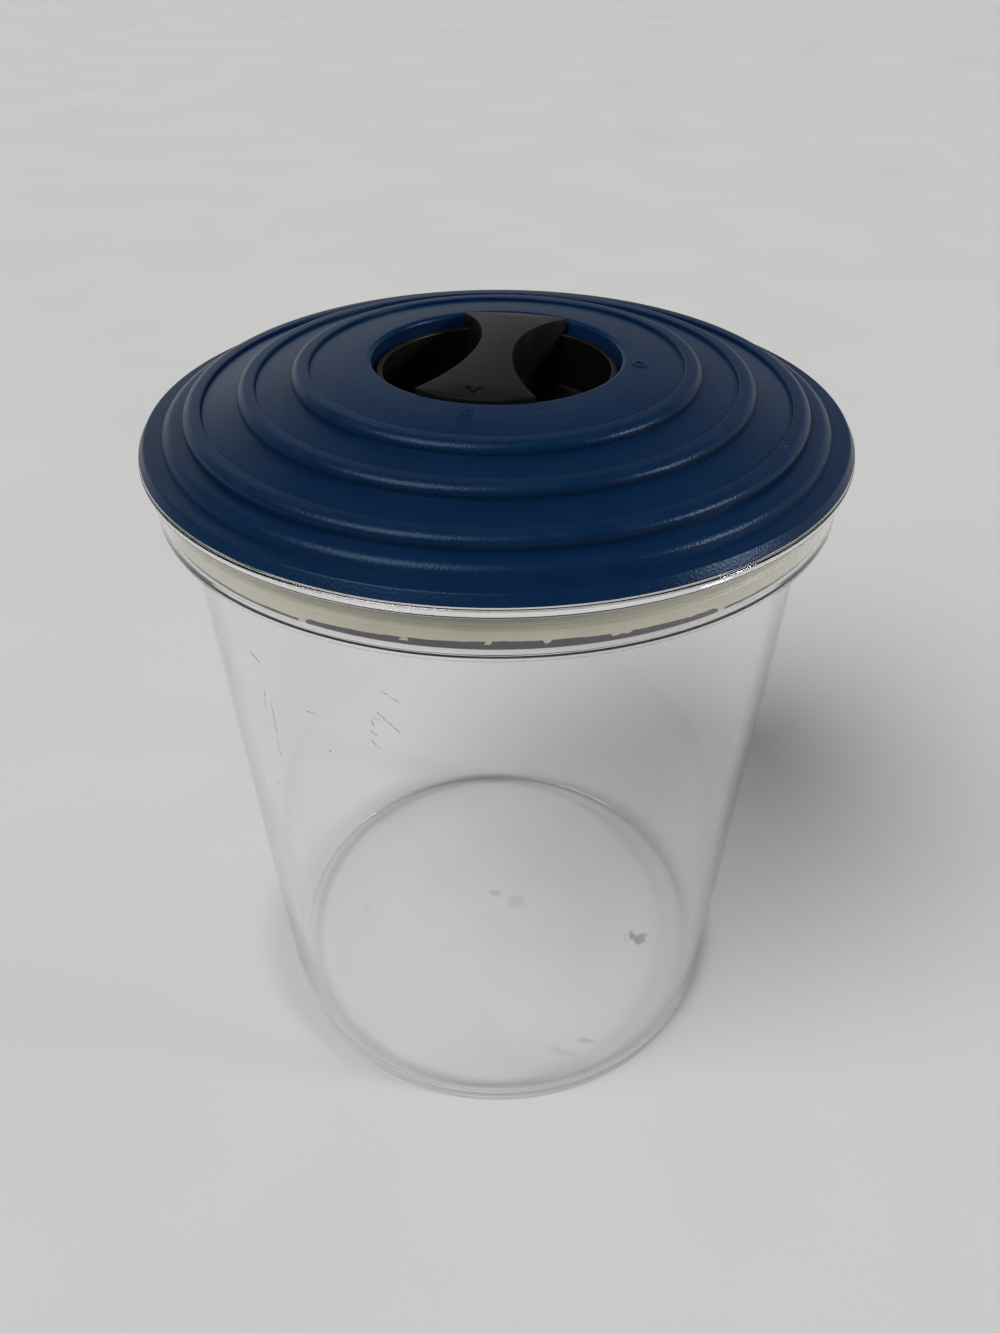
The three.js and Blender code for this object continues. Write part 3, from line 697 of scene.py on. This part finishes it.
seal_bore, seal_radius, seal_low, seal_hole = 4.3, 23.1, -4.5, 2.2
seal = made("seal_disc", turned(rounded([
    (seal_bore, seal_low, 0.2), (seal_radius, seal_low, 0.3),
    (seal_radius, cup_under, 0.3), (seal_bore, cup_under, 0.2),
], 4), 160, seat))
shaped(seal, round_tool(seal_hole, -5.0, -2.5, port))
seal.data.materials.clear()
seal.data.materials.append(grey_silicone)
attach(seal, "dial")
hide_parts("dial_seal")


# Stem seal. A round black rubber ring, moulded in one and stretched into the stem's gland. It keeps air
# out where the stem turns in the lid's hub.

ring_middle, ring_height, ring_section = 3.6, -9.6, 0.55
section = [2 * math.pi * i / 24 for i in range(24)]
stem_ring = made("stem_ring", turned([
    (ring_middle + ring_section * math.cos(t), ring_height + ring_section * math.sin(t))
    for t in section
], 96, seat))


def black_rubber():
    """Matt rubber with a fine bloom."""
    rubber, bloomed = (0.009, 0.009, 0.009), (0.018, 0.018, 0.018)
    material, tree, shader = finish("black_rubber", {"Roughness": 0.6, "IOR": 1.45})
    bloom = spread(tree, grain(tree, coordinates(tree), 900, detail=3), 0.3, 0.8)
    tree.links.new(blend(tree, bloom, rubber, bloomed), shader.inputs["Base Color"])
    return material


stem_ring.data.materials.append(black_rubber())
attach(stem_ring, "dial")
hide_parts("stem_o_ring")


# Spring, washer and screw. Stainless parts under the lid's hub: the disc spring pulls the dial down on
# its seal, the washer carries the spring, and the cross-head screw holds both on the stem's end.

spring_bore, spring_radius, spring_low, spring_rise, spring_gauge = 4.3, 7.5, -13.5, 0.9, 0.5
spring = made("disc_spring", turned(rounded([
    (spring_bore, spring_low, 0.1), (spring_radius, spring_low + spring_rise, 0.1),
    (spring_radius, spring_low + spring_rise + spring_gauge, 0.1),
    (spring_bore, spring_low + spring_gauge, 0.1),
], 3), 128, seat))

washer_radius, washer_low = 7.0, -14.6
washer = made("steel_washer", turned(rounded([
    (screw_bore, washer_low, 0.1), (washer_radius, washer_low, 0.2),
    (washer_radius, stem_end, 0.2), (screw_bore, stem_end, 0.1),
], 4), 128, seat))

head_radius, head_low, shank_radius = 3.0, -16.6, 1.4
head_side = (1.5, head_low), (2.4, head_low), (head_radius, -16.0), (head_radius, -14.9)
screw_corners = [(0, head_low, 0)] + curve(*head_side, steps=8)
screw_corners += [(head_radius, washer_low, 0.1), (shank_radius, washer_low, 0.1),
                  (shank_radius, -7.5, 0.1), (0, -6.1, 0)]
screw = made("cross_screw", turned(rounded(screw_corners, 3), 96, seat))
cross_length, cross_width, cross_depth = 3.2, 0.8, 0.9
for along, beside in ((cross_length, cross_width), (cross_width, cross_length)):
    middle = Vector((0, 0, (seat + head_low) * mm))
    size = Vector((along, beside, 2 * cross_depth)) * mm
    arm = bmesh.new()
    bmesh.ops.create_cube(arm, size=1.0, matrix=Matrix.LocRotScale(middle, None, size))
    shaped(screw, made("tool", arm))


def steel():
    """Plain stainless with fine turning lines round the axis."""
    dark_steel, light_steel = (0.50, 0.51, 0.53), (0.60, 0.61, 0.63)
    material, tree, shader = finish("steel", {"Metallic": 1.0})
    place = coordinates(tree)
    lines = {0: radius_at(tree, place), 1: height_at(tree, place)}
    turning = grain(tree, node(tree, "CombineXYZ", lines).outputs[0], 6)
    tree.links.new(blend(tree, turning, dark_steel, light_steel), shader.inputs["Base Color"])
    tree.links.new(spread(tree, turning, 0.3, 0.7, 0.22, 0.36), shader.inputs["Roughness"])
    return material


stainless = steel()
for piece, cad_node in (
    (spring, "spring_washer"), (washer, "retaining_washer"), (screw, "retaining_screw"),
):
    piece.data.materials.clear()
    piece.data.materials.append(stainless)
    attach(piece, "dial")
    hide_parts(cad_node)


# Table, light and camera. A wide pale table, a broad soft lamp high at the front left, a smaller one
# low at the right, a pale surround that is dark overhead and in front, and the camera above the lid's
# front edge, where the photograph was taken.

table_radius, table_height = 5.0, 0.00005
table_mesh = bmesh.new()
bmesh.ops.create_circle(table_mesh, cap_ends=True, segments=96, radius=table_radius)
bmesh.ops.translate(table_mesh, vec=(0, 0, table_height), verts=table_mesh.verts)
table = made("table", table_mesh)


def pale_table():
    """Matt pale grey with a faint large cloud."""
    grey, pale_grey = (0.60, 0.60, 0.585), (0.63, 0.63, 0.615)
    material, tree, shader = finish("pale_table", {"Roughness": 0.75, "Specular IOR Level": 0.3})
    tone = spread(tree, grain(tree, coordinates(tree), 6, detail=3), 0.3, 0.7)
    tree.links.new(blend(tree, tone, grey, pale_grey), shader.inputs["Base Color"])
    return material


table.data.materials.append(pale_table())

aim = Vector((0, 0, 0.12))
for name, azimuth, elevation, width, power in (
    ("left_lamp", -40, 54, 38, 2.6),
    ("right_lamp", 88, 24, 12, 1.5),
):
    lamp = bpy.data.lights.new(name, "SUN")
    lamp.angle, lamp.energy = math.radians(width), power
    holder = bpy.data.objects.new(name, lamp)
    turn, rise = math.radians(azimuth), math.radians(elevation)
    out = math.cos(rise)
    toward = Vector((math.sin(turn) * out, -math.cos(turn) * out, math.sin(rise)))
    holder.location = aim + toward
    holder.rotation_euler = toward.to_track_quat("Z", "Y").to_euler()
    bpy.context.scene.collection.objects.link(holder)

# The surround lights and mirrors from low down behind the object, most at the two sides. Looked at
# straight or through the clear wall, it is one even grey like the table.
surround_dark, surround_pale = (0.05, 0.05, 0.05), (0.95, 0.98, 0.97)
background = (0.575, 0.575, 0.56)
surround = bpy.data.worlds.new("surround")
surround.use_nodes = True
sky = surround.node_tree
toward = node(sky, "SeparateXYZ", {0: node(sky, "TexCoord", {}).outputs["Generated"]}).outputs
aside = maths(sky, "ABSOLUTE", maths(sky, "ADD", toward["X"], 0.12))
bright = product(
    sky,
    spread(sky, toward["Z"], 0.16, 0.52, 1, 0),
    spread(sky, toward["Y"], 0.1, 0.6, 0.15, 0.74),
    spread(sky, toward["Y"], 0.7, 1, 1, 0.3),
    spread(sky, toward["X"], -0.6, 0.2, 1.85, 1),
    spread(sky, toward["X"], 0.05, 0.3, 1, 1.75),
    spread(sky, aside, 0.46, 0.7, 1, 0.35),
)
shade = blend(sky, bright, surround_dark, surround_pale)
path = node(sky, "LightPath", {}).outputs
looked_at = maths(sky, "MAXIMUM", path["Is Camera Ray"], path["Is Transmission Ray"])
shade = blend(sky, looked_at, shade, background)
sky.links.new(shade, sky.nodes["Background"].inputs["Color"])
bpy.context.scene.world = surround

focal_pixels, photo_height, sensor = 1003.5, 1333, 36.0
view = bpy.data.cameras.new("camera")
view.sensor_width, view.lens = sensor, sensor * focal_pixels / photo_height
camera = bpy.data.objects.new("camera", view)
camera.location = (0.04124, -0.21745, 0.27621)
camera.rotation_euler = (math.radians(90 - 37.501), 0, math.radians(10.553))
bpy.context.scene.collection.objects.link(camera)
bpy.context.scene.camera = camera
bpy.context.scene.view_settings.view_transform = "Standard"
